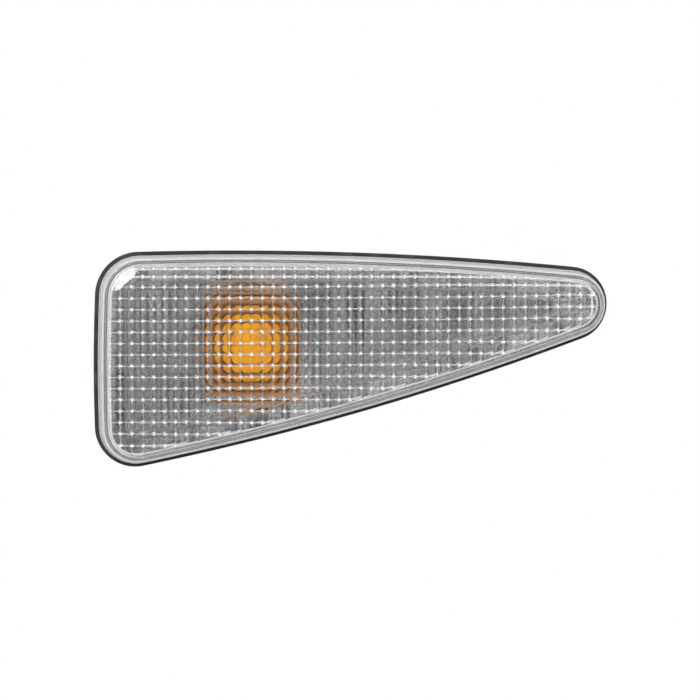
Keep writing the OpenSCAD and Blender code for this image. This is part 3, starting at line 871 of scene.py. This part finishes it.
# %% [markdown]
# ## Moulded plastic parts
# The housing, the bulb holder and the cap of the breather are injection mouldings. Their
# CAD solids have knife-sharp edges, which no moulding has and which catch no light. A
# copy of each is merged, cleared of the lines inside flat faces and bevelled by a
# modifier. The bevel is narrow, so every fit stays as it is. The last modifier lets the
# large faces decide the shading of the small ones beside them, so flat stays flat.

# %% Bevelled copies of CAD parts
MERGE = 0.002 * MM
FLAT_ANGLE = math.radians(0.5)
EDGE_ANGLE = math.radians(50)
BEVEL, CAP_BEVEL = 0.05 * MM, 0.15 * MM
LARGE_WINS = 80


def bevelled(node, name, width):
    """A copy of a CAD part with merged points, clean flat faces and bevelled edges."""
    mesh = nodes[node].data.copy()
    mesh.name = name
    mesh.polygons.foreach_set("use_smooth", np.ones(len(mesh.polygons), bool))
    piece = bpy.data.objects.new(name, mesh)
    bpy.context.scene.collection.objects.link(piece)
    piece.modifiers.new("merge", "WELD").merge_threshold = MERGE
    clean = piece.modifiers.new("clean", "DECIMATE")
    clean.decimate_type = "DISSOLVE"
    clean.angle_limit = FLAT_ANGLE
    edges = piece.modifiers.new("edges", "BEVEL")
    edges.width = width
    edges.segments = 2
    edges.limit_method = "ANGLE"
    edges.angle_limit = EDGE_ANGLE
    piece.modifiers.new("shade", "WEIGHTED_NORMAL").weight = LARGE_WINS
    keep_result(piece)
    return piece


housing = bevelled("housing", "housing_body", BEVEL)
holder = bevelled("bulb_holder", "holder_body", BEVEL)
cap = bevelled("vent_cap", "vent_cap_body", CAP_BEVEL)

# %% Dress the plastic parts
def moulded(name, colour, grain=0.5, depth=0.015, rough=0.4):
    """Moulded plastic: spark-eroded grain, faint flow marks and rubbed spots."""
    finish = Finish(name)
    pale = tuple(min(1, c * 1.25 + 0.01) for c in colour)
    flow = finish.step(finish.noise(14 * MM, 4.0, (1, 1, 2.5)), 0.35, 0.7)
    spots = {"Vector": finish.place(), "Scale": 1 / (grain * MM)}
    cells = finish.node("ShaderNodeTexVoronoi", {}, spots)
    rubbed = finish.step(finish.noise(5 * MM, 5.0), 0.55, 0.75)
    return finish.shade(
        Base_Color=finish.blend(flow, colour, pale),
        Roughness=rough + finish.noise(1.2 * MM) * 0.15 - rubbed * 0.1,
        Normal=finish.bump(cells, depth * MM),
    )


black_plastic = moulded("black_plastic", (0.035, 0.035, 0.038))
grey_plastic = moulded("grey_plastic", (0.13, 0.13, 0.14), 0.35, 0.008, 0.35)
put_on(housing, "lamp", "housing", black_plastic)
put_on(holder, "bulb_socket", "bulb_holder", grey_plastic)
put_on(cap, "lamp", "vent_cap", seal_rubber)

# %% [markdown]
# ## Metal parts
# The spring clip is stamped from blued strip, the contacts from tinned brass, and the
# wires on the bulb's base are drawn. Rolling and drawing leave long fine lines, so the
# noise in their roughness and bump is stretched along the part.

# %% Dress the metals
def dress(node, finish):
    """Gives a CAD part its finish."""
    slots = nodes[node].data.materials
    slots.clear()
    slots.append(finish)


def rolled(name, colour, stain, stretch, rough=0.25):
    """Rolled or drawn metal: long fine lines, and stains in soft patches."""
    finish = Finish(name)
    lines = finish.noise(0.4 * MM, 3.0, stretch)
    stains = finish.step(finish.noise(3 * MM, 5.0), 0.5, 0.8)
    return finish.shade(
        Base_Color=finish.blend(stains, colour, stain),
        Metallic=1.0,
        Roughness=rough + lines * 0.2 + stains * 0.15,
        Normal=finish.bump(lines, 0.01 * MM),
    )


ALONG_X, ALONG_Y = (0.05, 1, 1), (1, 0.05, 1)
dress("spring_clip", rolled("spring_steel", (0.6, 0.61, 0.63), (0.3, 0.28, 0.27), ALONG_X))
brass = rolled("contact_brass", (0.75, 0.6, 0.3), (0.45, 0.3, 0.14), ALONG_Y)
dress("contact_upper", brass)
dress("contact_lower", brass)
drawn = rolled("filament_wire", (0.45, 0.45, 0.46), (0.25, 0.25, 0.26), ALONG_X, 0.3)
dress("bulb_filament", drawn)
dress("bulb_lead_left", drawn)
dress("bulb_lead_right", drawn)
dress("holder_seal", rubber("holder_seal_rubber", (0.45, 0.11, 0.04), (0.5, 0.2, 0.12)))

# %% [markdown]
# ## The amber bulb
# The bulb's glass is dipped in amber lacquer, and its colour darkens towards its base.
# The lacquer is a paint, so the bulb is an opaque glossy amber here, with a slow change
# of colour along its length and small runs in it. Some of the colour is given as light,
# a painted glow, though the bulb is not lit.

# %% Dress the bulb
BULB_PAINTED_GLOW = 0.3
LACQUER_START, LACQUER_END = -3 * MM, 14 * MM
RUNS, RUN_SIZE, RUN_LONG = 2.6, 1.8 * MM, (1, 0.5, 0.3)
LACQUER = [(0.0, (0.85, 0.35, 0.0)), (0.4, (0.65, 0.245, 0.0)), (1.0, (0.2, 0.06, 0.0))]


def amber_lacquer_and_painted_glow():
    """Amber that darkens from the tip of the bulb to its base, with runs from a noise and a painted glow.
    """
    finish = Finish("amber_lacquer_and_painted_glow")
    runs = (finish.noise(RUN_SIZE, 4.0, RUN_LONG) - 0.5) * RUNS
    along = finish.step(finish.axes()[1], LACQUER_START, LACQUER_END)
    colour = finish.ramp(along + runs, LACQUER)
    return finish.shade(
        Base_Color=colour,
        Roughness=0.08 + finish.noise(1 * MM) * 0.06,
        Specular_IOR_Level=0.1,
        # Painted glow: the unlit bulb gives some of its colour as light.
        Emission_Color=colour,
        Emission_Strength=BULB_PAINTED_GLOW,
    )


dress("bulb_glass", amber_lacquer_and_painted_glow())

# %% [markdown]
# ## Background and light
# The photograph has a plain white background. The world shows as white to the camera,
# to reflections and through the lens, and lights the object with less than that. In one
# small disc it is dark to reflections, like the hole that a photographer leaves in a
# white tent for the camera, so that the flat face of the lens has no white veil.

# %% World
WORLD_LIGHT = 0.5
DARK_AT = (6, -4)
DARK_START, DARK_END = math.radians(8), math.radians(14)


def direction(azimuth, elevation):
    """A unit vector from the lamp towards a place in the studio, in degrees."""
    a, e = math.radians(azimuth), math.radians(elevation)
    return Vector((math.sin(a) * math.cos(e), -math.cos(a) * math.cos(e), math.sin(e)))


world = bpy.data.worlds.new("studio")
bpy.context.scene.world = world
studio = Finish(world)
camera_ray, glossy_ray, glass_ray = [
    studio.node("ShaderNodeLightPath", out=f"Is {kind} Ray")
    for kind in ("Camera", "Glossy", "Transmission")
]
way = studio.node("ShaderNodeTexCoord", out="Generated")
toward = studio.node("ShaderNodeVectorMath", {"operation": "DOT_PRODUCT"},
                     {0: way, 1: direction(*DARK_AT)}, out=1)
dark = studio.step(toward, math.cos(DARK_END), math.cos(DARK_START))
mirrored = glossy_ray.most(glass_ray)
seen = camera_ray.most(mirrored * (1 - dark))
lit = (1 - camera_ray.most(mirrored)) * WORLD_LIGHT
glow = {"Color": (1, 1, 1, 1), "Strength": seen + lit}
studio.node("ShaderNodeOutputWorld", inputs={"Surface": studio.node("ShaderNodeBackground", {}, glow)})

# %% [markdown]
# ## Soft lamps
# Three large lamps add the rest of the light, so that a colour renders about as it is
# written. The key lamp is the pale shape that the lens's round corner mirrors. It isn't
# seen through the lens, where it would hide the reflector.

# %% Lamps
def soft_lamp(name, azimuth, elevation, away, size, radiance, roll=0):
    """A lamp that faces the object, whose surface of a width and height has a radiance."""
    data = bpy.data.lights.new(name, "AREA")
    data.shape = "ELLIPSE"
    data.size, data.size_y = size
    data.energy = radiance * size[0] * size[1] * math.pi**2 / 4
    lamp = bpy.data.objects.new(name, data)
    bpy.context.scene.collection.objects.link(lamp)
    way = direction(azimuth, elevation)
    lamp.location = target + away * way
    spin = Euler((0, 0, math.radians(roll))).to_quaternion()
    lamp.rotation_euler = (way.to_track_quat("Z", "Y") @ spin).to_euler()
    return lamp


key = soft_lamp("key", -18, 18, 1.2, (0.7, 0.26), 18, 45)
key.visible_transmission = False
soft_lamp("fill", 50, 40, 1.5, (0.8, 0.8), 1.0)
soft_lamp("behind", 200, 45, 1.5, (0.8, 0.8), 1.5)

# %% [markdown]
# ## The floor
# The lamp floats in the photograph, so the floor lies well below it, and only catches
# its shadow in views from above. It is a thin disc that fades out into the white.

# %% Floor
FLOOR_Z = -120 * MM
FLOOR_R = 300 * MM
FLOOR_T = 2 * MM
FADE_START, FADE_END = 80 * MM, 280 * MM


def floor_circle(z):
    """96 points on a circle below the lamp, at a height."""
    around = arc((target.x, 0), FLOOR_R, 0, math.tau, 96)
    return np.column_stack((around, np.full(len(around), z)))


def floor_paper():
    """Pale paper, which fades to clear with its distance from the middle."""
    finish = Finish("floor_paper")
    length = {"operation": "LENGTH"}
    from_middle = finish.node("ShaderNodeVectorMath", length, {0: finish.place()}, out=1)
    matt = finish.principled(
        Base_Color=finish.ramp(finish.noise(0.5 * MM, 2.0), [(0.3, grey(0.8)), (0.7, grey(0.84))]),
        Roughness=0.8,
    )
    fade = finish.step(from_middle, FADE_START, FADE_END)
    clear = finish.node("ShaderNodeBsdfTransparent")
    return finish.end(finish.node("ShaderNodeMixShader", {}, {0: fade, 1: matt, 2: clear}))


floor = new_piece("floor", *loft([floor_circle(FLOOR_Z - FLOOR_T), floor_circle(FLOOR_Z)]))
floor.data.materials.append(floor_paper())
print("floor:", round(-FLOOR_Z / MM), "mm below the bulb's axis")

# %% Colours as they are
bpy.context.scene.view_settings.view_transform = "Standard"
